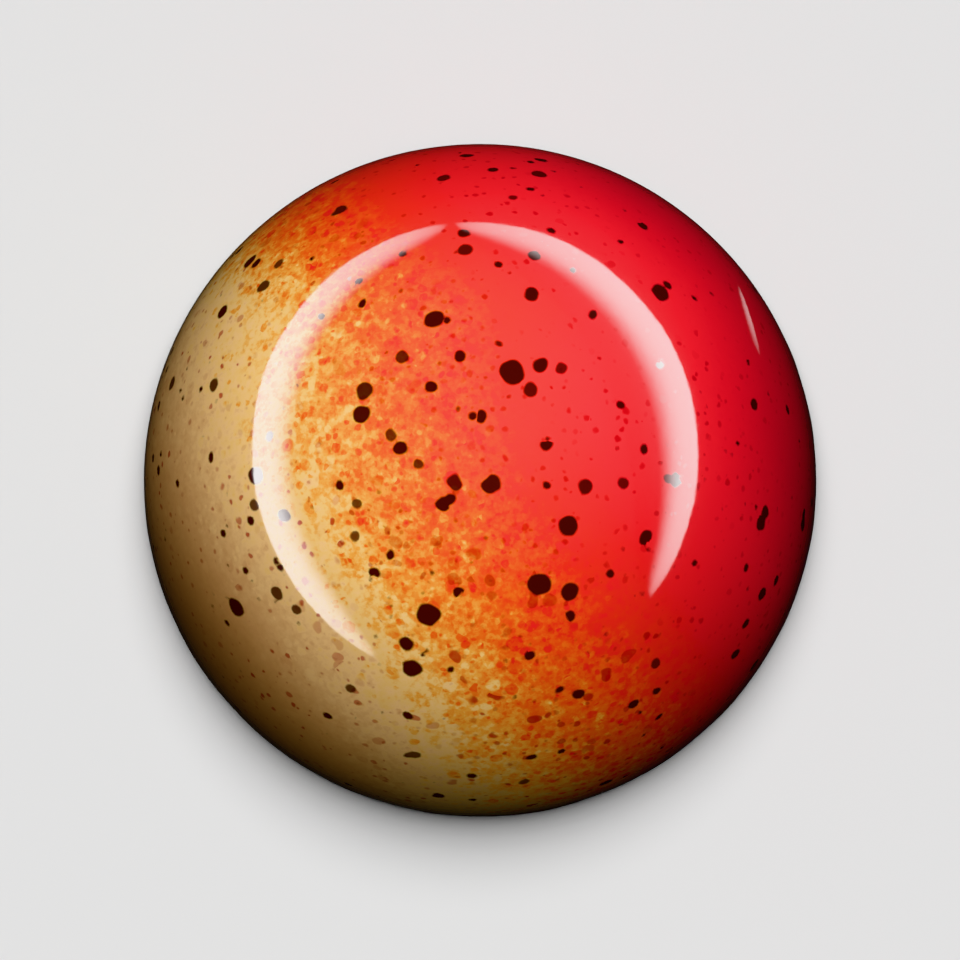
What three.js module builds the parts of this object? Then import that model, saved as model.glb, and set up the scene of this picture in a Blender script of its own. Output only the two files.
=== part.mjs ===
// A moulded chocolate bonbon: one solid half-sphere on a short straight band, with a flat base.
// Millimetres, +Z up, origin at the middle of the base, on the surface that the bonbon rests on.

import * as THREE from "three";

// Driving dimensions of the mould's cavity.
const DOME_RADIUS = 15;
const BAND_HEIGHT = 0.5;

// The base is scraped level, which rounds its rim a little.
const RIM_RADIUS = 0.25;

// How finely the round stretches are cut.
const SEGMENTS_ROUND = 96;
const DOME_STEPS = 26;
const RIM_STEPS = 3;

const SHELL_COLOUR = 0xe2482c;
const SHELL_ROUGHNESS = 0.16;

// Points along an arc in the profile's plane, from one angle to another, both ends included.
function arc(centre, radius, from, to, steps) {
  const points = [];
  for (let i = 0; i <= steps; i++) {
    const angle = from + ((to - from) * i) / steps;
    points.push(
      new THREE.Vector2(
        centre.x + radius * Math.cos(angle),
        centre.y + radius * Math.sin(angle),
      ),
    );
  }
  return points;
}

// The half outline, from the middle of the base out to the rim, up the band and over the dome.
function bonbonOutline() {
  const rimCentre = new THREE.Vector2(DOME_RADIUS - RIM_RADIUS, RIM_RADIUS);
  const domeCentre = new THREE.Vector2(0, BAND_HEIGHT);
  const rim = arc(rimCentre, RIM_RADIUS, -Math.PI / 2, 0, RIM_STEPS);
  const dome = arc(domeCentre, DOME_RADIUS, 0, Math.PI / 2, DOME_STEPS);
  const crown = dome.pop();
  crown.x = 0;
  return [new THREE.Vector2(0, 0), ...rim, ...dome, crown];
}

function makeBonbon() {
  const shape = new THREE.LatheGeometry(bonbonOutline(), SEGMENTS_ROUND);
  const shell = new THREE.MeshStandardMaterial({
    color: SHELL_COLOUR,
    roughness: SHELL_ROUGHNESS,
    metalness: 0,
  });
  const bonbon = new THREE.Mesh(shape, shell);
  bonbon.name = "bonbon";
  bonbon.rotation.x = Math.PI / 2; // the lathe turns about Y, and the bonbon stands on Z
  return bonbon;
}

const part = new THREE.Group();
part.add(makeBonbon());

export default part;
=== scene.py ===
"""A moulded chocolate bonbon, sprayed from gold to red and spattered with dark cocoa butter.

Metres throughout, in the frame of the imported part: +Z up, origin in the middle of the base.
"""

import math

import bpy
import numpy as np
from mathutils import Matrix, Vector


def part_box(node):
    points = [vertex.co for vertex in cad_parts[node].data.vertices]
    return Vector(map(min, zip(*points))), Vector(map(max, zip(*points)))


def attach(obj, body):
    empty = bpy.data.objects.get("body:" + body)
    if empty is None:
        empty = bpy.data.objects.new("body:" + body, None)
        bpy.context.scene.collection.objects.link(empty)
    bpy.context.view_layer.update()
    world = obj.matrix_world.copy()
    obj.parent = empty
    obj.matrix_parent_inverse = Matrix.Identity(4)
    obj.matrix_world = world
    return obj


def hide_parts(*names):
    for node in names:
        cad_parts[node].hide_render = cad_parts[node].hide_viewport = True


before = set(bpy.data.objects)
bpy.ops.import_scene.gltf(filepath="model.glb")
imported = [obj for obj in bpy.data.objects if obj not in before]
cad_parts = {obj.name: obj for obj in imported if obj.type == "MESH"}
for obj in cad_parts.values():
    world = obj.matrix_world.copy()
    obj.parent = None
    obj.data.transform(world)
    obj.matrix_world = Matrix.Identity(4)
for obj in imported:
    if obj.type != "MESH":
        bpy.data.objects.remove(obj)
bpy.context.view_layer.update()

MM = 0.001

# The mould's cavity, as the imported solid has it.
NODE_LOW, NODE_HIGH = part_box("bonbon")
DOME_RADIUS = (NODE_HIGH.x - NODE_LOW.x) / 2
BAND_HEIGHT = NODE_HIGH.z - NODE_LOW.z - DOME_RADIUS
DOME_CENTRE = Vector((0, 0, NODE_LOW.z + BAND_HEIGHT))

# The painted shell ends a little above the floor, where the scraper cut the chocolate level.
SHELL_EDGE_HEIGHT = 0.3 * MM
SHELL_EDGE_TURN = 0.06 * MM
SHELL_EDGE_WAVER = 0.07 * MM
SHELL_EDGE_WAVER_LENGTH = 2.6 * MM

# A polished mould still leaves the gloss gently uneven.
WAVE_HEIGHT = 0.012 * MM
WAVE_LENGTH = 5.5 * MM

# The base fills the shell from below and shows as a thin dark line around the foot.
BASE_TOP = 0.9 * MM
BASE_RIM_RADIUS = 0.25 * MM
BASE_NECK_INSET = 0.2 * MM
FOOT_SPREAD = 0.09 * MM
FOOT_SPREAD_LENGTH = 3.4 * MM
FOOT_SPREAD_EVERYWHERE = 0.3
WALL_THICKNESS = 1.7 * MM
JOINT_WIDTH = 0.35 * MM
JOINT_DEPTH = 0.05 * MM
JOINT_GAP_LENGTH = 3.0 * MM
JOINT_KEPT = 0.6
SCRAPE_DEPTH = 0.035 * MM
SCRAPE_SPACING = 0.6 * MM
SCRAPE_STRETCH = 0.05
SCRAPE_FADE = 1.2 * MM
UNDERSIDE_HEIGHT = 0.01 * MM
SCRAPE_TURN = math.radians(24)

# Dark drops that were flicked into the mould first, in millimetres in the camera's view: how far
# across and up from the dome's centre, and radius.
LARGE_DROPS = (
    (1.4, 4.75, 0.54),
    (2.2, 4.0, 0.33),
    (2.6, -4.6, 0.56),
    (4.0, -4.9, 0.43),
    (3.9, -2.05, 0.46),
    (-2.3, -5.9, 0.52),
    (-3.0, -8.3, 0.44),
    (-2.05, 7.1, 0.42),
    (-5.1, 3.9, 0.38),
    (-5.2, 2.9, 0.41),
    (0.5, -0.2, 0.4),
    (-1.1, -0.1, 0.34),
    (8.0, 8.3, 0.46),
    (-9.9, 0.2, 0.42),
    (-10.8, -5.6, 0.46),
    (4.6, -0.3, 0.35),
    (6.3, -0.1, 0.28),
    (8.3, 0.1, 0.25),
    (3.6, 4.9, 0.25),
    (-3.4, 5.4, 0.3),
    (-3.9, 2.0, 0.25),
    (-2.7, 0.7, 0.27),
    (-5.4, -1.1, 0.25),
    (-5.5, -2.5, 0.22),
    (-10.0, -1.1, 0.28),
    (-11.8, 4.2, 0.33),
    (-13.7, 4.3, 0.32),
    (-9.6, 8.6, 0.34),
    (-8.9, 9.6, 0.28),
    (-6.2, 12.0, 0.34),
    (-1.6, 13.4, 0.32),
    (2.6, 13.6, 0.34),
    (1.5, 12.5, 0.22),
    (-0.6, 10.2, 0.33),
    (-9.0, -5.0, 0.31),
    (-8.1, -5.7, 0.28),
    (-5.7, -9.2, 0.27),
    (-2.9, -12.2, 0.28),
    (1.9, -13.4, 0.26),
    (7.8, -8.1, 0.28),
)

# A small drop is thin, and lets the paint behind it through.
THIN_DROP_STRENGTH = 0.75
DROP_STRENGTH_PER_MM = 0.6

# The drops that are scattered by a rule. Most of them are near the smallest size.
SPATTER_PER_MM2 = 0.25
SPATTER_SMALLEST = 0.08 * MM
SPATTER_LARGEST = 0.36 * MM
SPATTER_SIZE_POWER = 3.0
SPATTER_WEAKEST = 0.35
SPATTER_STRONGEST = 0.85
SPATTER_STRENGTH_BY_SIZE = 1.6
SPATTER_SEED = 7

# Every drop's outline is uneven and slightly soft.
DROP_RAGGEDNESS = 0.36 * MM
DROP_RAG_LENGTH = 0.8 * MM
DROP_SOFT_EDGE = 0.055 * MM

# How finely the turned pieces are cut.
SEGMENTS = 448
DOME_STEPS = 176
BASE_SEGMENTS = 288
BASE_STEPS = 110
EDGE_STEPS = 4
HIDDEN_STEPS = 6
SEAM_GAP = 0.001 * MM

# The map of each piece is a disc in the middle, with its hidden face as a small disc in a corner.
MAP_NAME = "OFBake"
MAP_RADIUS = 0.485
HIDDEN_MAP_RADIUS = 0.055
HIDDEN_MAP_CENTRE = Vector((0.065, 0.065, 0))

# A face is on the hidden side when more than this share of its corners is.
HIDDEN_FACE_SHARE = 0.25

# Straight down but for a slight lean, from about a metre.
CAMERA_TURN = math.radians(14)
CAMERA_HEIGHT_ANGLE = math.radians(86)
CAMERA_DISTANCE = 1.03
CAMERA_FILL = 0.70


# ---------------------------------------------------------------- nodes


class Number:
    """A number in a node tree. Arithmetic on it adds Math nodes, so that a rule reads as a formula."""

    def __init__(self, tree, socket):
        self.tree = tree
        self.socket = socket

    def through(self, operation, *others, clamp=False):
        made = add_node(self.tree, "ShaderNodeMath", operation=operation, use_clamp=clamp)
        for i, value in enumerate((self, *others)):
            feed(self.tree, made.inputs[i], value)
        return Number(self.tree, made.outputs[0])

    def __add__(self, other):
        return self.through("ADD", other)

    def __radd__(self, other):
        return self.through("ADD", other)

    def __sub__(self, other):
        return self.through("SUBTRACT", other)

    def __rsub__(self, other):
        return (self * -1) + other

    def __mul__(self, other):
        return self.through("MULTIPLY", other)

    def __truediv__(self, other):
        return self.through("DIVIDE", other)

    def clamped(self):
        return self.through("ADD", 0.0, clamp=True)

    def smooth_step(self, low, high):
        """0 below low, 1 above high, and a smooth rise between them."""
        made = add_node(self.tree, "ShaderNodeMapRange", interpolation_type="SMOOTHSTEP")
        feed(self.tree, made.inputs["Value"], self)
        feed(self.tree, made.inputs["From Min"], low)
        feed(self.tree, made.inputs["From Max"], high)
        return Number(self.tree, made.outputs["Result"])


def add_node(tree, kind, **settings):
    made = tree.nodes.new(kind)
    for name, value in settings.items():
        setattr(made, name, value)
    return made


def feed(tree, socket, value):
    """Links a socket to another, or sets its own value."""
    if isinstance(value, Number):
        value = value.socket
    if isinstance(value, bpy.types.NodeSocket):
        tree.links.new(value, socket)
    else:
        socket.default_value = value


def node(tree, kind, inputs, **settings):
    """A node with its inputs fed by name or by place. Returns the node."""
    made = add_node(tree, kind, **settings)
    for name, value in inputs.items():
        feed(tree, made.inputs[name], value)
    return made


def parts_of(tree, vector):
    """The X, Y and Z of a vector socket."""
    split = node(tree, "ShaderNodeSeparateXYZ", {0: vector})
    return [Number(tree, split.outputs[i]) for i in range(3)]


def vector_of(tree, x, y, z):
    return node(tree, "ShaderNodeCombineXYZ", {0: x, 1: y, 2: z}).outputs[0]


def vector_maths(tree, operation, a, b):
    return node(tree, "ShaderNodeVectorMath", {0: a, 1: b}, operation=operation).outputs[0]


def scaled(tree, vector, factor):
    made = node(tree, "ShaderNodeVectorMath", {0: vector, "Scale": factor}, operation="SCALE")
    return made.outputs[0]


def noise(tree, place, length, detail=2.0, roughness=0.5):
    """Noise from -1 to 1 whose bumps are about length wide, in the unit of place."""
    made = node(
        tree,
        "ShaderNodeTexNoise",
        {"Vector": place, "Scale": 1 / length, "Detail": detail, "Roughness": roughness},
    )
    return Number(tree, made.outputs[0]) * 2 - 1


def noise_vector(tree, place, length):
    """Three noises from -0.5 to 0.5 in one vector."""
    made = node(tree, "ShaderNodeTexNoise", {"Vector": place, "Scale": 1 / length, "Detail": 1.0})
    return vector_maths(tree, "SUBTRACT", made.outputs[1], (0.5, 0.5, 0.5))


# ---------------------------------------------------------------- geometry trees


def new_tree(name, inputs):
    """A Geometry Nodes tree with named inputs. Returns it with its input sockets by name."""
    tree = bpy.data.node_groups.new(name, "GeometryNodeTree")
    for label, kind in inputs.items():
        tree.interface.new_socket(label, in_out="INPUT", socket_type=kind)
    tree.interface.new_socket("Geometry", in_out="OUTPUT", socket_type="NodeSocketGeometry")
    entry = tree.nodes.new("NodeGroupInput")
    return tree, {label: entry.outputs[label] for label in inputs}


def end_tree(tree, geometry, material=None):
    """The geometry with its instances realized, and its material if given, goes to the output."""
    made = node(tree, "GeometryNodeRealizeInstances", {"Geometry": geometry})
    if material is not None:
        dressed = {"Geometry": made.outputs[0], "Material": material}
        made = node(tree, "GeometryNodeSetMaterial", dressed)
    leave = tree.nodes.new("NodeGroupOutput")
    tree.links.new(made.outputs[0], leave.inputs["Geometry"])


def made_by(tree, name, values):
    """A plain mesh object from a tree, with the tree's inputs set by name."""
    holder = bpy.data.objects.new(name + "_holder", bpy.data.meshes.new(name + "_holder"))
    bpy.context.scene.collection.objects.link(holder)
    modifier = holder.modifiers.new("maker", "NODES")
    modifier.node_group = tree
    sockets = {
        item.name: item.identifier
        for item in tree.interface.items_tree
        if item.item_type == "SOCKET" and item.in_out == "INPUT"
    }
    for label, value in values.items():
        modifier[sockets[label]] = value
    holder.update_tag()
    graph = bpy.context.evaluated_depsgraph_get()
    mesh = bpy.data.meshes.new_from_object(holder.evaluated_get(graph), depsgraph=graph)
    mesh.name = name
    holder.modifiers.remove(modifier)
    bpy.data.objects.remove(holder)
    piece = bpy.data.objects.new(name, mesh)
    bpy.context.scene.collection.objects.link(piece)
    return piece


def position(tree):
    return tree.nodes.new("GeometryNodeInputPosition").outputs[0]


def named_number(tree, name):
    made = node(tree, "GeometryNodeInputNamedAttribute", {"Name": name}, data_type="FLOAT")
    return Number(tree, made.outputs[0])


def stored(tree, geometry, name, value, domain="POINT", data_type="FLOAT"):
    made = node(
        tree,
        "GeometryNodeStoreNamedAttribute",
        {"Geometry": geometry, "Name": name, "Value": value},
        domain=domain,
        data_type=data_type,
    )
    return made.outputs[0]


def moved(tree, geometry, offset):
    return node(tree, "GeometryNodeSetPosition", {"Geometry": geometry, "Offset": offset}).outputs[0]


def sampled(tree, geometry, value, index, data_type):
    made = node(
        tree,
        "GeometryNodeSampleIndex",
        {"Geometry": geometry, "Value": value, "Index": index},
        data_type=data_type,
        domain="POINT",
    )
    return made.outputs[0]


def turned_solid_tree():
    """Turns an outline about Z into a closed solid, and lays out its map."""
    tree, given = new_tree(
        "turned_solid",
        {"Outline": "NodeSocketObject", "Segments": "NodeSocketInt", "Radius": "NodeSocketFloat"},
    )
    outline = node(tree, "GeometryNodeObjectInfo", {"Object": given["Outline"]}).outputs["Geometry"]
    size = node(tree, "GeometryNodeAttributeDomainSize", {"Geometry": outline}, component="MESH")
    rows = Number(tree, size.outputs["Point Count"])
    segments = Number(tree, given["Segments"])
    grid = node(
        tree, "GeometryNodeMeshGrid", {"Vertices X": segments + 1, "Vertices Y": rows}
    ).outputs["Mesh"]

    index = Number(tree, tree.nodes.new("GeometryNodeInputIndex").outputs[0])
    row = index.through("MODULO", rows)
    column = (index / rows).through("FLOOR")
    angle = column / segments * (-2 * math.pi)
    across, _, up = parts_of(tree, sampled(tree, outline, position(tree), row, "FLOAT_VECTOR"))
    place = vector_of(tree, across * angle.through("COSINE"), across * angle.through("SINE"), up)
    turned = node(tree, "GeometryNodeSetPosition", {"Geometry": grid, "Position": place}).outputs[0]
    for name in ("map_radius", "hidden"):
        value = sampled(tree, outline, named_number(tree, name), row, "FLOAT")
        turned = stored(tree, turned, name, value)
    closed = node(tree, "GeometryNodeMergeByDistance", {"Geometry": turned, "Distance": SEAM_GAP})
    smooth = node(tree, "GeometryNodeSetShadeSmooth", {"Geometry": closed.outputs[0]}).outputs[0]

    x, y, _ = parts_of(tree, position(tree))
    flat = vector_of(tree, x, y, 0.0)
    outward = vector_maths(tree, "NORMALIZE", flat, (0, 0, 0))
    shown_map = scaled(tree, outward, named_number(tree, "map_radius"))
    shown_map = vector_maths(tree, "ADD", shown_map, (0.5, 0.5, 0.0))
    share = Number(tree, given["Radius"]).through("DIVIDE", HIDDEN_MAP_RADIUS)
    hidden_map = vector_of(tree, x / share, y / share, 0.0)
    hidden_map = vector_maths(tree, "ADD", hidden_map, HIDDEN_MAP_CENTRE)
    on_face = node(
        tree,
        "GeometryNodeFieldOnDomain",
        {0: named_number(tree, "hidden")},
        data_type="FLOAT",
        domain="FACE",
    )
    is_hidden = Number(tree, on_face.outputs[0]).through("GREATER_THAN", HIDDEN_FACE_SHARE)
    either = node(
        tree,
        "GeometryNodeSwitch",
        {"Switch": is_hidden, "False": shown_map, "True": hidden_map},
        input_type="VECTOR",
    )
    mapped = stored(tree, smooth, MAP_NAME, either.outputs[0], "CORNER", "FLOAT2")
    end_tree(tree, mapped)
    return tree


def turned_in(tree, given, turned_solid):
    """The turned solid inside another tree, from that tree's own inputs."""
    passed_on = {label: given[label] for label in ("Outline", "Segments", "Radius")}
    return node(tree, "GeometryNodeGroup", passed_on, node_tree=turned_solid).outputs[0]


def drop_depth(tree, drops, place):
    """How far inside the nearest drop's outline a place lies, and that drop's strength."""
    nearest = node(
        tree, "GeometryNodeSampleNearest", {"Geometry": drops, "Sample Position": place}
    ).outputs[0]
    centre = sampled(tree, drops, position(tree), nearest, "FLOAT_VECTOR")
    radius, strength = (
        Number(tree, sampled(tree, drops, named_number(tree, name), nearest, "FLOAT"))
        for name in ("drop_radius", "drop_strength")
    )
    away = node(tree, "ShaderNodeVectorMath", {0: centre, 1: place}, operation="DISTANCE")
    return radius - Number(tree, away.outputs["Value"]), strength


def random_number(tree, low, high, seed):
    inputs = {"Min": low, "Max": high, "Seed": seed}
    made = node(tree, "FunctionNodeRandomValue", inputs, data_type="FLOAT")
    return Number(tree, made.outputs["Value"])


def painted_shell_tree(turned_solid):
    """The painted outside: a turned dome, gently uneven, that knows how deep in a drop it is."""
    tree, given = new_tree(
        "painted_shell",
        {
            "Outline": "NodeSocketObject",
            "Segments": "NodeSocketInt",
            "Radius": "NodeSocketFloat",
            "Large drops": "NodeSocketObject",
            "Edge waver": "NodeSocketFloat",
            "Wave height": "NodeSocketFloat",
            "Spatter density": "NodeSocketFloat",
            "Smallest drop": "NodeSocketFloat",
            "Largest drop": "NodeSocketFloat",
            "Raggedness": "NodeSocketFloat",
            "Seed": "NodeSocketInt",
            "Material": "NodeSocketMaterial",
        },
    )
    turned = turned_in(tree, given, turned_solid)

    x, y, z = parts_of(tree, position(tree))
    around = vector_of(tree, x, y, 0.0)
    near_edge = 1 - z.smooth_step(SHELL_EDGE_HEIGHT, 2 * BAND_HEIGHT)
    waver = noise(tree, around, SHELL_EDGE_WAVER_LENGTH) * Number(tree, given["Edge waver"])
    turned = moved(tree, turned, vector_of(tree, 0.0, 0.0, waver * near_edge))

    on_dome = z.smooth_step(BAND_HEIGHT, 4 * BAND_HEIGHT)
    swell = noise(tree, position(tree), WAVE_LENGTH, detail=1.0) * Number(tree, given["Wave height"])
    normal = tree.nodes.new("GeometryNodeInputNormal").outputs[0]
    turned = moved(tree, turned, scaled(tree, normal, swell * on_dome))

    ragged = scaled(tree, noise_vector(tree, position(tree), DROP_RAG_LENGTH), given["Raggedness"])
    place = vector_maths(tree, "ADD", position(tree), ragged)
    by_hand = node(tree, "GeometryNodeObjectInfo", {"Object": given["Large drops"]}).outputs["Geometry"]
    large_depth, large_strength = drop_depth(tree, by_hand, place)

    scattered = node(
        tree,
        "GeometryNodeDistributePointsOnFaces",
        {"Mesh": turned, "Density": given["Spatter density"], "Seed": given["Seed"]},
    ).outputs["Points"]
    smallest = Number(tree, given["Smallest drop"])
    spread = Number(tree, given["Largest drop"]) - smallest
    luck = random_number(tree, 0.0, 1.0, given["Seed"])
    radius = smallest + spread * luck.through("POWER", SPATTER_SIZE_POWER)
    scattered = stored(tree, scattered, "drop_radius", radius)
    fatness = (named_number(tree, "drop_radius") - smallest) / spread
    luck = random_number(tree, SPATTER_WEAKEST, SPATTER_STRONGEST, given["Seed"])
    strength = (fatness * SPATTER_STRENGTH_BY_SIZE + luck).through("MINIMUM", 1.0)
    scattered = stored(tree, scattered, "drop_strength", strength)
    small_depth, small_strength = drop_depth(tree, scattered, place)

    in_large = large_depth.smooth_step(-2 * DROP_SOFT_EDGE, -DROP_SOFT_EDGE)
    depth = large_depth.through("MAXIMUM", small_depth)
    strength = in_large * large_strength + (1 - in_large) * small_strength
    turned = stored(tree, turned, "drop_depth", depth)
    turned = stored(tree, turned, "drop_strength", strength)
    end_tree(tree, turned, given["Material"])
    return tree


def chocolate_base_tree(turned_solid):
    """The bare base: a turned plug with a scraped underside and a slightly spread foot."""
    tree, given = new_tree(
        "chocolate_base",
        {
            "Outline": "NodeSocketObject",
            "Segments": "NodeSocketInt",
            "Radius": "NodeSocketFloat",
            "Foot spread": "NodeSocketFloat",
            "Scrape depth": "NodeSocketFloat",
            "Joint radius": "NodeSocketFloat",
            "Joint depth": "NodeSocketFloat",
            "Material": "NodeSocketMaterial",
        },
    )
    turned = turned_in(tree, given, turned_solid)

    x, y, z = parts_of(tree, position(tree))
    around = vector_of(tree, x, y, 0.0)
    outward = vector_maths(tree, "NORMALIZE", around, (0, 0, 0))
    at_foot = 1 - z.smooth_step(0.6 * BASE_RIM_RADIUS, SHELL_EDGE_HEIGHT)
    at_foot = at_foot * z.smooth_step(0.0, 0.5 * BASE_RIM_RADIUS)
    unevenness = noise(tree, around, FOOT_SPREAD_LENGTH) + FOOT_SPREAD_EVERYWHERE
    spread = unevenness * Number(tree, given["Foot spread"])
    turned = moved(tree, turned, scaled(tree, outward, spread * at_foot))

    across = x * math.cos(SCRAPE_TURN) + y * math.sin(SCRAPE_TURN)
    along = y * math.cos(SCRAPE_TURN) - x * math.sin(SCRAPE_TURN)
    stretched = vector_of(tree, across * SCRAPE_STRETCH, along, 0.0)
    streaks = noise(tree, stretched, SCRAPE_SPACING, detail=3.0, roughness=0.6).clamped()
    from_axis = (x * x + y * y).through("SQRT")
    off_joint = (from_axis - Number(tree, given["Joint radius"])).through("ABSOLUTE")
    groove = 1 - off_joint.smooth_step(0.0, JOINT_WIDTH)
    kept = (noise(tree, around, JOINT_GAP_LENGTH) + JOINT_KEPT).clamped()
    lift = streaks * Number(tree, given["Scrape depth"])
    lift = lift + groove * kept * Number(tree, given["Joint depth"])
    inside = 1 - from_axis.smooth_step(DOME_RADIUS - SCRAPE_FADE, DOME_RADIUS - 2 * BASE_RIM_RADIUS)
    underneath = 1 - z.smooth_step(0.0, UNDERSIDE_HEIGHT)
    turned = moved(tree, turned, vector_of(tree, 0.0, 0.0, lift * inside * underneath))
    end_tree(tree, turned, given["Material"])
    return tree


# ---------------------------------------------------------------- outlines


def line(start, end, steps):
    """Points from start to end, as (distance from the axis, height), without the start."""
    return [tuple(np.add(start, np.subtract(end, start) * i / steps)) for i in range(1, steps + 1)]


def arc(centre, radius, from_angle, to_angle, steps):
    """Points along an arc, without its first, with angles from the outward direction up."""
    angles = [from_angle + (to_angle - from_angle) * i / steps for i in range(1, steps + 1)]
    return [(centre[0] + radius * math.cos(a), centre[1] + radius * math.sin(a)) for a in angles]


def outline_object(name, points, map_radii, hidden):
    """The outline as a mesh of points, with each one's distance from the middle of the map."""
    mesh = bpy.data.meshes.new(name)
    mesh.from_pydata([(across, 0, up) for across, up in points], [], [])
    for label, values in (("map_radius", map_radii), ("hidden", hidden)):
        attribute = mesh.attributes.new(label, "FLOAT", "POINT")
        attribute.data.foreach_set("value", np.asarray(values, np.float32))
    return bpy.data.objects.new(name, mesh)


def lengths_along(points):
    steps = np.linalg.norm(np.diff(np.asarray(points), axis=0), axis=1)
    return np.concatenate([[0], np.cumsum(steps)])


def shell_outline():
    """From the top of the dome, down the band, round the edge and across to the axis."""
    crown = (0, BAND_HEIGHT + DOME_RADIUS)
    turn_centre = (DOME_RADIUS - SHELL_EDGE_TURN, SHELL_EDGE_HEIGHT + SHELL_EDGE_TURN)
    shown = [crown]
    shown += arc((0, BAND_HEIGHT), DOME_RADIUS, math.pi / 2, 0, DOME_STEPS)
    shown += line(shown[-1], (DOME_RADIUS, turn_centre[1]), EDGE_STEPS)
    shown += arc(turn_centre, SHELL_EDGE_TURN, 0, -math.pi / 2, EDGE_STEPS)
    under = line(shown[-1], (0, SHELL_EDGE_HEIGHT), HIDDEN_STEPS)
    lengths = lengths_along(shown)
    radii = [*(lengths / lengths[-1] * MAP_RADIUS), *[0] * len(under)]
    hidden = [0] * len(shown) + [1] * len(under)
    return outline_object("shell_outline", shown + under, radii, hidden)


def base_outline():
    """From the axis out across the hidden top, down the side and in across the underside."""
    neck = DOME_RADIUS - BASE_NECK_INSET
    top = [(0, BASE_TOP)] + line((0, BASE_TOP), (neck, BASE_TOP), HIDDEN_STEPS)
    rim_centre = (DOME_RADIUS - BASE_RIM_RADIUS, BASE_RIM_RADIUS)
    shown = line(top[-1], (neck, SHELL_EDGE_HEIGHT + 2 * SHELL_EDGE_WAVER), EDGE_STEPS)
    shown += line(shown[-1], (DOME_RADIUS, BASE_RIM_RADIUS), EDGE_STEPS)
    shown += arc(rim_centre, BASE_RIM_RADIUS, 0, -math.pi / 2, 2 * EDGE_STEPS)
    shown += line(shown[-1], (0, 0), BASE_STEPS)
    lengths = lengths_along(top[-1:] + shown)[1:]
    radii = [*[MAP_RADIUS] * len(top), *(MAP_RADIUS * (1 - lengths / lengths[-1]))]
    hidden = [1] * (len(top) - 1) + [0] * (len(shown) + 1)
    return outline_object("base_outline", top + shown, radii, hidden)


def large_drops_object():
    """The listed drops, each a point on the dome with its radius."""
    mesh = bpy.data.meshes.new("large_drops")
    rightward, upward, camera_side = camera_axes()
    points = []
    for across, up, _ in LARGE_DROPS:
        rise = math.sqrt((DOME_RADIUS / MM) ** 2 - across**2 - up**2)
        away = rightward * across + upward * up + camera_side * rise
        points.append(DOME_CENTRE + away * MM)
    mesh.from_pydata(points, [], [])
    radii = mesh.attributes.new("drop_radius", "FLOAT", "POINT")
    radii.data.foreach_set("value", [radius * MM for _, _, radius in LARGE_DROPS])
    drop_strengths = [
        min(1, THIN_DROP_STRENGTH + DROP_STRENGTH_PER_MM * radius) for _, _, radius in LARGE_DROPS
    ]
    strengths = mesh.attributes.new("drop_strength", "FLOAT", "POINT")
    strengths.data.foreach_set("value", drop_strengths)
    return bpy.data.objects.new("large_drops", mesh)


# ---------------------------------------------------------------- finishes


def new_material(name):
    """An empty material with its Principled shader."""
    material = bpy.data.materials.new(name)
    material.use_nodes = True
    shader = material.node_tree.nodes["Principled BSDF"]
    return material, material.node_tree, shader


def in_millimetres(tree):
    """Object coordinates, in millimetres."""
    coordinates = tree.nodes.new("ShaderNodeTexCoord").outputs["Object"]
    per_mm = (1 / MM, 1 / MM, 1 / MM)
    return node(tree, "ShaderNodeMapping", {"Vector": coordinates, "Scale": per_mm}).outputs[0]


def attribute_number(tree, name):
    made = add_node(tree, "ShaderNodeAttribute", attribute_name=name)
    return Number(tree, made.outputs["Fac"])


def blended(tree, factor, below, above, blend_type="MIX"):
    """One colour over another, by factor."""
    made = add_node(tree, "ShaderNodeMix", data_type="RGBA", blend_type=blend_type)
    feed(tree, made.inputs[0], factor)
    feed(tree, made.inputs[6], below)
    feed(tree, made.inputs[7], above)
    return made.outputs[2]


def colour_steps(tree, value, low, high, steps):
    """A ramp of colours over value. Each step is (value, (red, green, blue))."""
    ramp = add_node(tree, "ShaderNodeValToRGB")
    share = (value - low) / (high - low)
    feed(tree, ramp.inputs[0], share)
    elements = ramp.color_ramp.elements
    while len(elements) < len(steps):
        elements.new(0.5)
    for element, (at, colour) in zip(elements, steps, strict=True):
        element.position = (at - low) / (high - low)
        element.color = (*colour, 1)
    return ramp.outputs[0]


def droplets(tree, place, spacing, largest, soft):
    """Round droplets of many sizes about spacing apart: where they lie, and each one's tone."""
    made = node(tree, "ShaderNodeTexVoronoi", {"Vector": place, "Scale": 1 / spacing})
    random = node(tree, "ShaderNodeSeparateColor", {0: made.outputs["Color"]})
    radius = Number(tree, random.outputs[0]) * largest
    inside = radius - Number(tree, made.outputs["Distance"]) * spacing
    return inside.smooth_step(-soft, soft), Number(tree, random.outputs[1])


def warped(tree, place, length, amount):
    """A place moved about by noise, which makes round shapes uneven."""
    return vector_maths(tree, "ADD", place, scaled(tree, noise_vector(tree, place, length), amount))


def bump(tree, height, distance, below=None):
    """A bump from a height, where 1 is distance metres. It lies on the bump below, if given."""
    made = node(tree, "ShaderNodeBump", {"Height": height, "Distance": distance, "Strength": 1.0})
    if below is not None:
        feed(tree, made.inputs["Normal"], below)
    return made.outputs[0]


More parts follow.
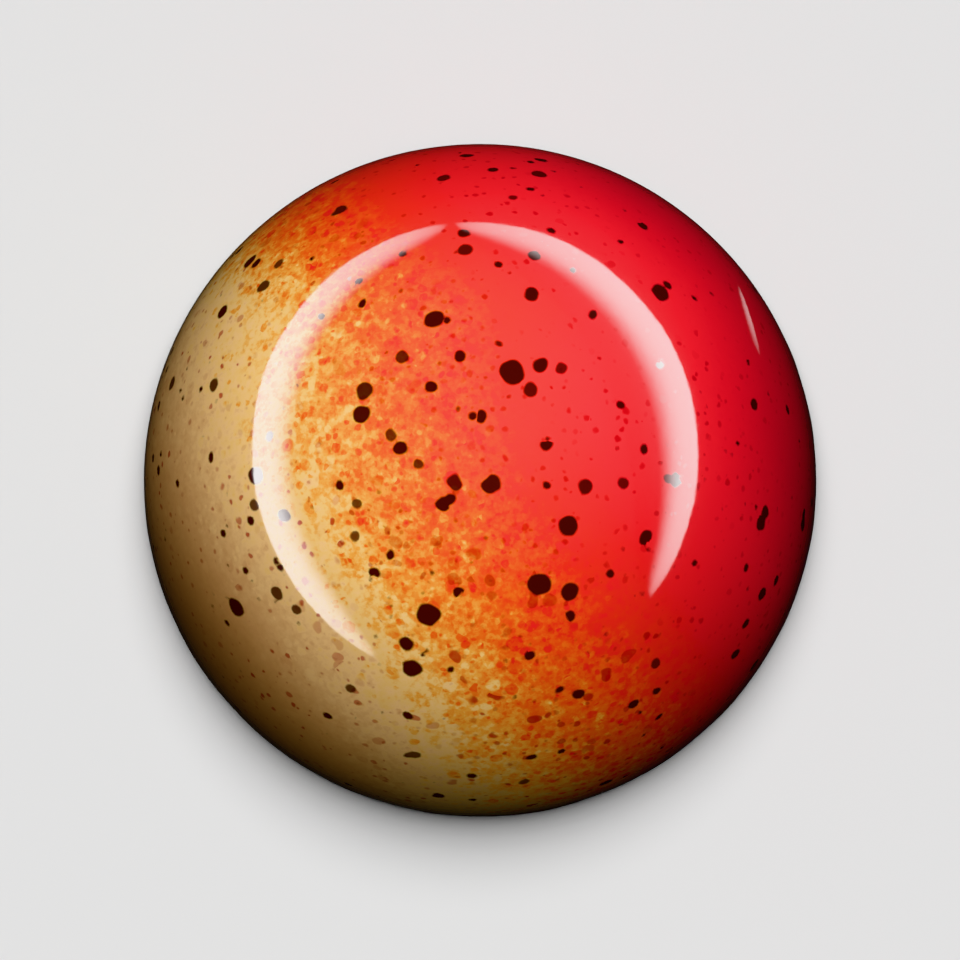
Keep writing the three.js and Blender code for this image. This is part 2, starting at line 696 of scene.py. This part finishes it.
# The colours across the line where the two sprays meet, by distance from it in dome radii. The
# outermost on either side are darker than the paint itself, because the dome's edge lies in shade.
SPRAY_STEPS = (
    (-0.90, (0.66, 0.32, 0.140)),
    (-0.72, (0.82, 0.46, 0.205)),
    (-0.55, (0.95, 0.61, 0.275)),
    (-0.38, (0.94, 0.60, 0.220)),
    (-0.24, (0.90, 0.42, 0.095)),
    (-0.02, (0.85, 0.17, 0.030)),
    (0.10, (0.84, 0.108, 0.024)),
    (0.22, (0.83, 0.072, 0.022)),
    (0.32, (0.82, 0.044, 0.026)),
    (0.60, (0.85, 0.038, 0.042)),
    (0.90, (0.86, 0.032, 0.044)),
    (1.12, (0.74, 0.018, 0.032)),
)
SPRAY_RANGE = (-1.0, 1.2)
MEETING_OFFSET = -0.31
MEETING_SLANT = 0.36
MEETING_BEND = 0.30
MEETING_CURL = 0.4
MEETING_CURL_ROOM = (0.4, 0.9)
MEETING_DRIFT = 0.05
MEETING_DRIFT_LENGTH = 6.0
GOLD_SIDE_FADE = (-0.85, -0.25)
RED_SIDE_FADE = (0.15, 0.42)
RED_SIDE_FADE_LOWER_DOWN = 0.25
LOWER_SIDE = (-9.0, 0.0)

# The stipple, in millimetres: the lengths of its clouds, and each size of droplet as
# (spacing, largest radius). It shifts the colours by its reach at the meeting line.
CLOUD_LENGTH = 0.75
FINE_CLOUD_LENGTH = 0.33
STIPPLE_DROPLETS = ((0.9, 0.40), (0.55, 0.26), (0.34, 0.17))
STIPPLE_SOFT_EDGE = 0.045
UNEVENNESS = (0.4, 0.22)
STIPPLE_REACH = 0.24
STIPPLE_REACH_ELSEWHERE = 0.02

# The specks of the dark spray: the smeared ones near the meeting line, and the round ones.
SMEAR = (0.8, 0.6)
SMEARED_SPECKS = (0.85, 0.34)
ROUND_SPECKS = ((0.75, 0.2), (0.45, 0.14))
SPECKS_EVERYWHERE = 0.3
SPECKS_IN_PLACES = 0.6
SPECK_TINT = (0.50, 0.06, 0.12, 1)
SPECK_SOFT_EDGE = 0.05
PATCH_LENGTH = 5.0

# Towards the foot the paint gives way to bare chocolate: partly thinning paint, partly painted shade.
# The paint covers fully above the second of these heights, in millimetres.
FOOT_DARKENING_HEIGHTS = (-2.0, 5.0)
DARK_COCOA = (0.055, 0.004, 0.003, 1)
BARE_CHOCOLATE = (0.040, 0.016, 0.009, 1)

PAINT_ROUGHNESS = 0.36
GLOSS_ROUGHNESS = 0.055
GLOSS_IOR = 1.5
PEEL_LENGTH = 0.9
PEEL_HEIGHT = 0.0012 * MM


def painted_cocoa_butter():
    """Gold sprayed from one side and red from the other over dark drops, under a polished gloss."""
    material, tree, shader = new_material("painted_cocoa_butter")
    place = in_millimetres(tree)
    x, y, z = parts_of(tree, place)
    # The meeting line runs up the dome on the gold side and slants across below the top.
    back = y / (DOME_RADIUS / MM)
    bend = (back * back + MEETING_BEND**2).through("SQRT") - back
    sprayed = x / (DOME_RADIUS / MM) - MEETING_OFFSET - bend * MEETING_SLANT
    sprayed = sprayed + back.smooth_step(*MEETING_CURL_ROOM) * MEETING_CURL
    drift = noise(tree, place, MEETING_DRIFT_LENGTH, detail=1.0) * MEETING_DRIFT
    low_side = 1 - y.smooth_step(*LOWER_SIDE)

    # The two sprays meet in a stipple of droplets, which fades out on either side.
    uneven = warped(tree, place, *UNEVENNESS)
    cloud = noise(tree, place, CLOUD_LENGTH, detail=3.0, roughness=0.6)
    fine_cloud = noise(tree, place, FINE_CLOUD_LENGTH, detail=2.0, roughness=0.6)
    stipple = cloud * 1.3 + fine_cloud.smooth_step(-0.22, 0.22) * 0.5 - 0.25
    for spacing, largest in STIPPLE_DROPLETS:
        lies, tone = droplets(tree, uneven, spacing, largest, STIPPLE_SOFT_EDGE)
        stipple = stipple + lies * (tone - 0.4) * 1.7
    fade_from, fade_to = RED_SIDE_FADE
    all_red = sprayed.smooth_step(fade_from, fade_to + low_side * RED_SIDE_FADE_LOWER_DOWN)
    meeting = sprayed.smooth_step(*GOLD_SIDE_FADE) * (1 - all_red)
    reach = meeting * STIPPLE_REACH + STIPPLE_REACH_ELSEWHERE
    mixed = sprayed + drift + stipple * reach
    paint = colour_steps(tree, mixed, *SPRAY_RANGE, SPRAY_STEPS)

    # Specks of the dark spray tint the paint, thickly in some patches and thinly in others.
    patches = noise(tree, place, PATCH_LENGTH, detail=1.0).smooth_step(-0.5, 0.5)
    smeared = warped(tree, place, *SMEAR)
    near_meeting = meeting * (low_side * SPECKS_IN_PLACES + SPECKS_EVERYWHERE)
    patchy = patches * SPECKS_IN_PLACES + SPECKS_EVERYWHERE
    for where, sizes, amount in (
        (smeared, SMEARED_SPECKS, near_meeting),
        (uneven, ROUND_SPECKS[0], patchy),
        (uneven, ROUND_SPECKS[1], patchy),
    ):
        speck, tone = droplets(tree, where, *sizes, SPECK_SOFT_EDGE)
        tint = speck * tone.smooth_step(0.25, 0.85) * amount
        paint = blended(tree, tint, paint, SPECK_TINT, "MULTIPLY")

    # The paint thins towards the foot and the chocolate shows; the darker, browner foot is partly
    # painted shade as well.
    cover_and_shade = (z + stipple * 0.3).smooth_step(*FOOT_DARKENING_HEIGHTS)
    paint = blended(tree, cover_and_shade, BARE_CHOCOLATE, paint)

    in_drop = attribute_number(tree, "drop_depth").smooth_step(-DROP_SOFT_EDGE, DROP_SOFT_EDGE)
    in_drop = in_drop * attribute_number(tree, "drop_strength")
    paint = blended(tree, in_drop, paint, DARK_COCOA)
    feed(tree, shader.inputs["Base Color"], paint)

    feed(tree, shader.inputs["Roughness"], PAINT_ROUGHNESS + cloud * 0.05 - in_drop * 0.08)
    shader.inputs["Specular IOR Level"].default_value = 0.0
    shader.inputs["Coat Weight"].default_value = 1.0
    shader.inputs["Coat Roughness"].default_value = GLOSS_ROUGHNESS
    shader.inputs["Coat IOR"].default_value = GLOSS_IOR
    peel = noise(tree, place, PEEL_LENGTH, detail=2.0)
    normal = bump(tree, peel, PEEL_HEIGHT)
    feed(tree, shader.inputs["Normal"], normal)
    feed(tree, shader.inputs["Coat Normal"], normal)
    return material


# The scraped chocolate. Spacings and lengths across it are in millimetres.
DARKER_CHOCOLATE = (0.030, 0.0115, 0.006, 1)
LIGHTER_CHOCOLATE = (0.052, 0.021, 0.012, 1)
WORN_CHOCOLATE = (0.085, 0.042, 0.026, 1)
WORN_SHARE = 0.4
DRAG_SPACING = 0.45
DRAG_STRETCH = 0.09
DRAG_HEIGHT = 0.03 * MM
MOTTLE_LENGTH = 2.2
CHOCOLATE_ROUGHNESS = 0.52
CHOCOLATE_IOR = 1.46
CHOCOLATE_SPECULAR = 0.3
BUBBLE_SPACING = 2.4
BUBBLE_LARGEST = 0.34
BUBBLE_SOFT_EDGE = 0.05
BUBBLE_DEPTH = 0.12 * MM


def bare_chocolate():
    """Dark chocolate scraped level, with drag lines and a few tiny bubbles."""
    material, tree, shader = new_material("bare_chocolate")
    place = in_millimetres(tree)
    turn = {"Vector": place, "Rotation": (0, 0, -SCRAPE_TURN)}
    turned = node(tree, "ShaderNodeMapping", turn).outputs[0]
    stretch = {"Vector": turned, "Scale": (DRAG_STRETCH, 1, 1)}
    drawn_out = node(tree, "ShaderNodeMapping", stretch).outputs[0]
    drag = noise(tree, drawn_out, DRAG_SPACING, detail=3.0, roughness=0.6)
    mottle = noise(tree, place, MOTTLE_LENGTH, detail=3.0)
    tone = blended(tree, (mottle + 1) * 0.5, DARKER_CHOCOLATE, LIGHTER_CHOCOLATE)
    worn = blended(tree, drag.smooth_step(-0.25, 0.6) * WORN_SHARE, tone, WORN_CHOCOLATE)
    feed(tree, shader.inputs["Base Color"], worn)
    feed(tree, shader.inputs["Roughness"], CHOCOLATE_ROUGHNESS + drag * 0.12 + mottle * 0.05)
    shader.inputs["IOR"].default_value = CHOCOLATE_IOR
    shader.inputs["Specular IOR Level"].default_value = CHOCOLATE_SPECULAR
    bubble, _ = droplets(tree, place, BUBBLE_SPACING, BUBBLE_LARGEST, BUBBLE_SOFT_EDGE)
    normal = bump(tree, drag, DRAG_HEIGHT)
    normal = bump(tree, 1 - bubble, BUBBLE_DEPTH, below=normal)
    feed(tree, shader.inputs["Normal"], normal)
    return material


# ---------------------------------------------------------------- pieces


def make_bonbon():
    turned_solid = turned_solid_tree()
    shell = made_by(
        painted_shell_tree(turned_solid),
        "painted_shell",
        {
            "Outline": shell_outline(),
            "Segments": SEGMENTS,
            "Radius": DOME_RADIUS,
            "Large drops": large_drops_object(),
            "Edge waver": SHELL_EDGE_WAVER,
            "Wave height": WAVE_HEIGHT,
            "Spatter density": SPATTER_PER_MM2 / MM**2,
            "Smallest drop": SPATTER_SMALLEST,
            "Largest drop": SPATTER_LARGEST,
            "Raggedness": DROP_RAGGEDNESS,
            "Seed": SPATTER_SEED,
            "Material": painted_cocoa_butter(),
        },
    )
    base = made_by(
        chocolate_base_tree(turned_solid),
        "chocolate_base",
        {
            "Outline": base_outline(),
            "Segments": BASE_SEGMENTS,
            "Radius": DOME_RADIUS,
            "Foot spread": FOOT_SPREAD,
            "Scrape depth": SCRAPE_DEPTH,
            "Joint radius": DOME_RADIUS - WALL_THICKNESS,
            "Joint depth": JOINT_DEPTH,
            "Material": bare_chocolate(),
        },
    )
    for piece, slot in ((shell, "painted_shell"), (base, "bare_chocolate")):
        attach(piece, "root")
        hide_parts("bonbon")
    return shell, base


# ---------------------------------------------------------------- camera, floor and light


def towards(turn, height_angle):
    """The direction to a camera: turn 0 is towards -Y, and a quarter turn is towards +X."""
    level = math.cos(height_angle)
    return Vector((math.sin(turn) * level, -math.cos(turn) * level, math.sin(height_angle)))


def camera_axes():
    """Right, up and back for a camera that looks down with +Y at the top of its view."""
    back = towards(CAMERA_TURN, CAMERA_HEIGHT_ANGLE)
    right = Vector((0, 1, 0)).cross(back).normalized()
    return right, back.cross(right), back


def make_camera():
    right, up, back = camera_axes()
    data = bpy.data.cameras.new("camera")
    data.sensor_width = 36
    data.lens = data.sensor_width * CAMERA_DISTANCE / (2 * DOME_RADIUS / CAMERA_FILL)
    data.clip_start = 0.05
    data.clip_end = 10
    camera = bpy.data.objects.new("camera", data)
    camera.matrix_world = Matrix.Translation(DOME_CENTRE + back * CAMERA_DISTANCE) @ (
        Matrix((right, up, back)).transposed().to_4x4()
    )
    bpy.context.scene.collection.objects.link(camera)
    bpy.context.scene.camera = camera
    return camera


FLOOR_REACH = 6.0
FLOOR_COLOUR = (0.68, 0.68, 0.68, 1)


def make_floor():
    """A plain pale floor that the camera sees, but that sends no light back to the bonbon."""
    mesh = bpy.data.meshes.new("floor")
    corners = [(x * FLOOR_REACH, y * FLOOR_REACH, 0) for x, y in ((-1, -1), (1, -1), (1, 1), (-1, 1))]
    mesh.from_pydata(corners, [], [(0, 1, 2, 3)])
    material, _, shader = new_material("pale_floor")
    shader.inputs["Base Color"].default_value = FLOOR_COLOUR
    shader.inputs["Roughness"].default_value = 1.0
    shader.inputs["Specular IOR Level"].default_value = 0.0
    mesh.materials.append(material)
    floor = bpy.data.objects.new("floor", mesh)
    floor.visible_glossy = False
    floor.visible_diffuse = False
    bpy.context.scene.collection.objects.link(floor)
    return floor


SKY_ABOVE = 0.1
SKY_BELOW = 0.025
SKY_FADE = (-0.1, 0.3)


def make_sky():
    """A dim even light from above, and a quarter of it from below."""
    world = bpy.data.worlds.new("sky")
    world.use_nodes = True
    tree = world.node_tree
    direction = tree.nodes.new("ShaderNodeTexCoord").outputs["Generated"]
    height = parts_of(tree, direction)[2]
    strength = height.smooth_step(*SKY_FADE) * (SKY_ABOVE - SKY_BELOW) + SKY_BELOW
    feed(tree, tree.nodes["Background"].inputs["Strength"], strength)
    tree.nodes["Background"].inputs["Color"].default_value = (1, 1, 1, 1)
    bpy.context.scene.world = world


# Each lamp's place: how many degrees it leans from straight up, towards which bearing in degrees
# from +X, and how many metres off. A softbox then has its width in metres and its watts.
SOFTBOXES = (
    ("softbox_above", (8, 40, 0.080), 0.048, 0.0585),
    ("softbox_behind", (66, 102, 0.40), 0.24, 0.80),
)
DAYLIGHT = (18, 85, 0.40)
DAYLIGHT_STRENGTH = 3.6
DAYLIGHT_SPREAD = math.radians(40)


def make_lamp(light, receivers, lean, bearing, distance):
    """A lamp that points at the dome's centre and lights only its receivers."""
    level = math.sin(math.radians(lean))
    across = level * math.cos(math.radians(bearing))
    up = level * math.sin(math.radians(bearing))
    direction = Vector((across, up, math.cos(math.radians(lean))))
    lamp = bpy.data.objects.new(light.name, light)
    lamp.location = DOME_CENTRE + direction * distance
    lamp.rotation_euler = direction.to_track_quat("Z", "Y").to_euler()
    lamp.visible_camera = False
    lamp.visible_glossy = False
    bpy.context.scene.collection.objects.link(lamp)
    lit = bpy.data.collections.new(light.name + "_receivers")
    for receiver in receivers:
        lit.objects.link(receiver)
    lamp.light_linking.receiver_collection = lit


def make_lamps(pieces, floor):
    """A softbox close above the bonbon, one low behind it, and daylight on the floor."""
    for name, place, width, watts in SOFTBOXES:
        softbox = bpy.data.lights.new(name, "AREA")
        softbox.shape = "DISK"
        softbox.size = width
        softbox.energy = watts
        make_lamp(softbox, pieces, *place)
    daylight = bpy.data.lights.new("daylight", "SUN")
    daylight.energy = DAYLIGHT_STRENGTH
    daylight.angle = DAYLIGHT_SPREAD
    make_lamp(daylight, [floor], *DAYLIGHT)


STRIP_DISTANCE = 0.6
STRIP_STEPS_ALONG = 72
STRIP_STEPS_ACROSS = 16
STRIP_STRENGTH = 20
GLINT_STRENGTH = 1.8

# The crescents lie on one slightly oval hoop, which is furthest out towards this bearing.
HOOP_FURTHEST = math.radians(100)
HOOP_SHARE = 0.665
HOOP_SHIFT = 0.08
HOOP_OVAL = 0.015

GLINT_START = math.radians(36)
GLINT_SHARE = 0.955
GLINT_SLANT = 0.23


def hoop_share(bearing):
    """How far out on the dome's disc the hoop's outer edge is seen, for each bearing."""
    swing = bearing - HOOP_FURTHEST
    return HOOP_SHARE + HOOP_SHIFT * math.cos(swing) + HOOP_OVAL * math.cos(2 * swing)


def glint_share(bearing):
    """The same for the short glint near the edge on the red side."""
    return GLINT_SHARE - GLINT_SLANT * (GLINT_START - bearing)


def seen_from_dome(camera, bearing, share):
    """The place whose reflection the camera sees at that bearing and share of the radius."""
    right, up, back = camera_axes()
    level = right * math.cos(bearing) + up * math.sin(bearing)
    normal = level * share + back * math.sqrt(1 - share * share)
    point = DOME_CENTRE + normal * DOME_RADIUS
    view = (camera.location - point).normalized()
    return point + (normal * (2 * normal.dot(view)) - view) * STRIP_DISTANCE


def light_strip(camera, name, outer, first, last, width, core, soft, tail, strength):
    """A curved lamp whose reflection lies as a crescent inside an outer edge.

    It is bright over the core's share of its width, and fades inwards until the soft share.
    A tail is a faint glow that reaches across the whole width.
    """
    points, glows = [], []
    for i in range(STRIP_STEPS_ALONG + 1):
        along = i / STRIP_STEPS_ALONG
        bearing = math.radians(first + (last - first) * along)
        swelling = math.sin(math.pi * along) ** 0.5
        for j in range(STRIP_STEPS_ACROSS + 1):
            inward = j / STRIP_STEPS_ACROSS
            share = outer(bearing) - width * swelling * inward
            points.append(seen_from_dome(camera, bearing, share))
            fade = min(max((soft - inward) / (soft - core), 0), 1)
            glow = swelling * fade * fade * (3 - 2 * fade)
            glows.append(glow + tail * swelling**3 * (1 - inward) ** 2)
    row = STRIP_STEPS_ACROSS + 1
    faces = [
        (i * row + j, (i + 1) * row + j, (i + 1) * row + j + 1, i * row + j + 1)
        for i in range(STRIP_STEPS_ALONG)
        for j in range(STRIP_STEPS_ACROSS)
    ]
    mesh = bpy.data.meshes.new(name)
    mesh.from_pydata(points, [], faces)
    mesh.attributes.new("glow", "FLOAT", "POINT").data.foreach_set("value", glows)
    material = bpy.data.materials.new(name)
    material.use_nodes = True
    tree = material.node_tree
    tree.nodes.remove(tree.nodes["Principled BSDF"])
    lamp = tree.nodes.new("ShaderNodeEmission")
    feed(tree, lamp.inputs["Strength"], attribute_number(tree, "glow") * strength)
    tree.links.new(lamp.outputs[0], tree.nodes["Material Output"].inputs["Surface"])
    mesh.materials.append(material)
    strip = bpy.data.objects.new(name, mesh)
    strip.visible_camera = False
    strip.visible_diffuse = False
    strip.visible_shadow = False
    bpy.context.scene.collection.objects.link(strip)


camera = make_camera()
pieces = make_bonbon()
floor = make_floor()
make_sky()
make_lamps(pieces, floor)
for name, outer, ends, width, (core, soft, tail), strength in (
    ("strip_left", hoop_share, (240, 97), 0.13, (0.28, 1.0, 0.0), STRIP_STRENGTH),
    ("strip_right", hoop_share, (96, -35), 0.22, (0.18, 0.58, 0.17), STRIP_STRENGTH),
    ("glint_right", glint_share, (37, 24), 0.02, (0.3, 1.0, 0.0), GLINT_STRENGTH),
):
    light_strip(camera, name, outer, *ends, width, core, soft, tail, strength)
bpy.context.scene.view_settings.view_transform = "Khronos PBR Neutral"
